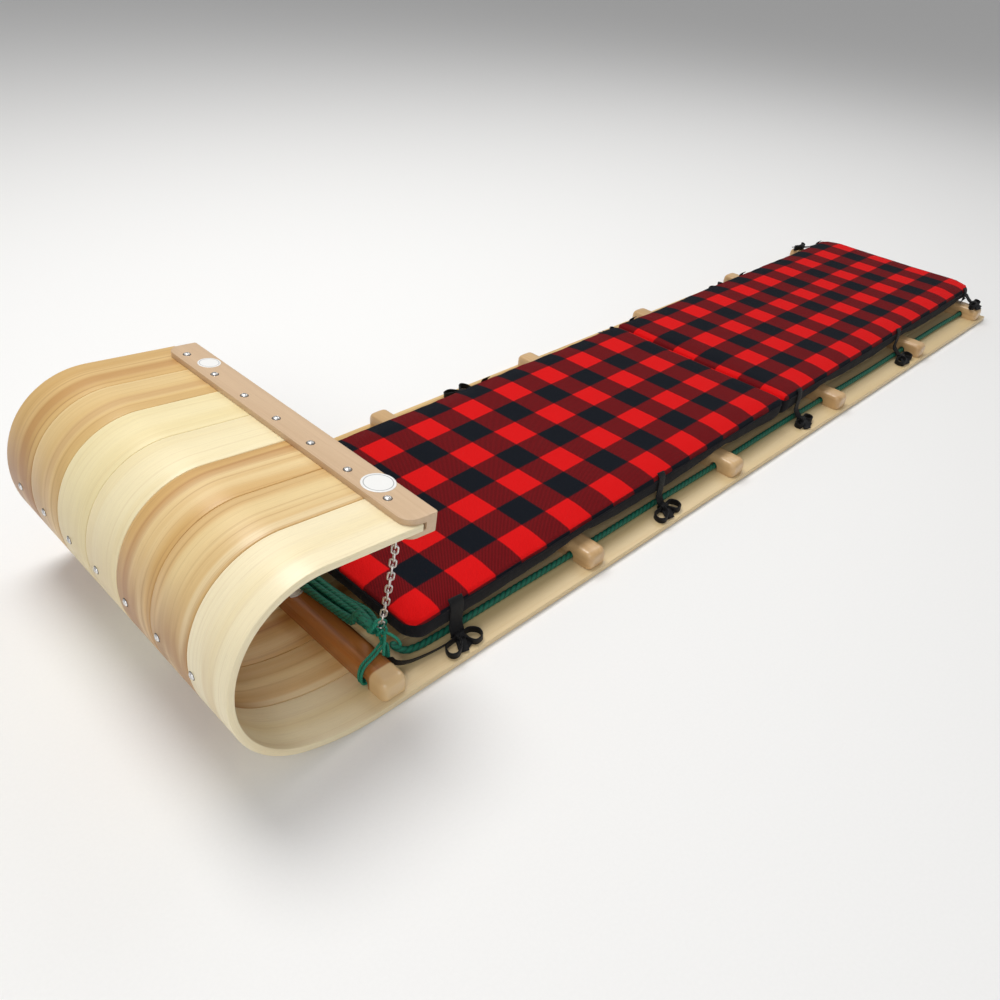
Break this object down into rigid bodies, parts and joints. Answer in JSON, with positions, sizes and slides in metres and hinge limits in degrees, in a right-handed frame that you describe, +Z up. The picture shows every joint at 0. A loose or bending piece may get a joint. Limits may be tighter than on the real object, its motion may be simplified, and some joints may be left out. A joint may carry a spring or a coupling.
{
  "type": "toboggan",
  "caption": "Flat-bottomed wooden toboggan of bent slats on crossbars, with a rolled curl, header bar, chains, ropes and a tied-on folding seat pad.",
  "frame": {"origin": "centre of the footprint on the ground", "axes": "+X forward to the curl, +Y to the left side, +Z up"},
  "size_m": [1.829, 0.4614, 0.2352],
  "materials": {
    "tan_ash": "varnished, satin",
    "pale_ash": "varnished, satin",
    "bar_wood": "varnished, glossy",
    "header_wood": "varnished, satin",
    "steel": "bright zinc plated",
    "rope": "laid polypropylene",
    "thin_cord": "laid cord",
    "checked_cloth": "brushed check cloth",
    "foam": "open-cell foam",
    "ribbon": "woven ribbon",
    "label": "printed film"
  },
  "bodies": {
    "toboggan": {"slat_1": "tan_ash", "slat_2": "tan_ash", "slat_3": "pale_ash", "slat_4": "pale_ash", "slat_5": "tan_ash", "slat_6": "tan_ash", "slat_7": "pale_ash", "crossbar_1": "bar_wood", "crossbar_2": "bar_wood", "crossbar_3": "bar_wood", "crossbar_4": "bar_wood", "crossbar_5": "bar_wood", "crossbar_6": "bar_wood", "header_bar": "header_wood", "header_screws": "steel", "curl_batten": "header_wood", "curl_screws": "steel", "crossbar_screws": "steel", "chain_left": "steel", "chain_right": "steel", "chain_eyes": "steel", "lashing_left": "thin_cord", "lashing_right": "thin_cord", "lashing_knots": "thin_cord", "side_rope_left": "rope", "side_rope_right": "rope", "rope_tail_knots": "rope", "pull_rope_hank": "rope", "pad_cover_front": "checked_cloth", "pad_foam_front": "foam", "tie_left_1": "ribbon", "tie_left_2": "ribbon", "tie_right_1": "ribbon", "tie_right_2": "ribbon", "labels_header": "label", "label_crossbar": "label"},
    "rear_pad": {"pad_cover_rear": "checked_cloth", "pad_foam_rear": "foam", "tie_left_3": "ribbon", "tie_left_4": "ribbon", "tie_left_5": "ribbon", "tie_right_3": "ribbon", "tie_right_4": "ribbon", "tie_right_5": "ribbon"}
  },
  "joints": [
    {"name": "pad_fold", "type": "hinge", "parent": "toboggan", "child": "rear_pad", "pos_m": [-0.10999, 0.01385, 0.065], "axis": [-0.0105, 0.9999, 0], "range_deg": [0, 160]}
  ]
}
